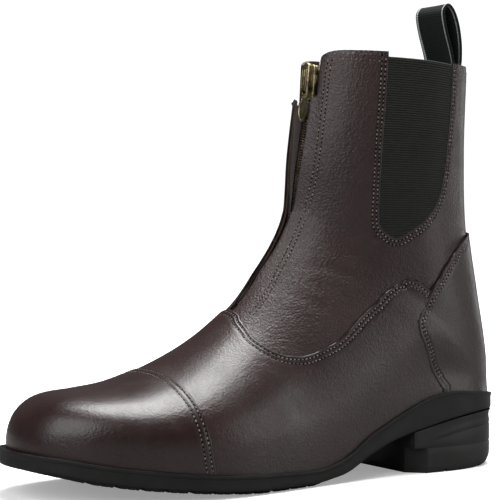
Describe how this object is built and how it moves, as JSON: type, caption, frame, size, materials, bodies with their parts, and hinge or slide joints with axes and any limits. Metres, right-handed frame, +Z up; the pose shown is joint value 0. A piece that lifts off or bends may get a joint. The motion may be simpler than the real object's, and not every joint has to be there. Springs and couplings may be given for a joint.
{
  "type": "paddock boot",
  "caption": "Left ankle-height leather riding boot with toe cap, front zip, elastic side gores, back pull loop and a stacked heel, standing empty.",
  "frame": {"origin": "middle of the boot's box, on the floor", "axes": "toe towards -X, outer (lateral) side towards -Y, +Z up"},
  "size_m": [0.3002, 0.1099, 0.2647],
  "materials": {
    "leather": "semi-gloss dark brown, fine grain",
    "rubber": "matte black",
    "lining": "matte",
    "elastic": "matte black rib",
    "webbing": "matte woven",
    "brass": "antique, worn"
  },
  "bodies": {
    "boot": {"outsole": "rubber", "heel": "rubber", "insole": "lining", "upper": "leather", "toe_cap": "leather", "vamp": "leather", "counter": "leather", "gore_lateral": "elastic", "gore_medial": "elastic", "zip_tape": "elastic", "zip_teeth": "brass", "zip_slider": "brass", "pull_loop": "webbing"},
    "pull_tab": {"zip_pull": "brass"}
  },
  "joints": [
    {"name": "pull_hinge", "type": "hinge", "parent": "boot", "child": "pull_tab", "pos_m": [0.02728, 0.00293, 0.20876], "axis": [0, 1, 0], "range_deg": [0, 120]}
  ]
}
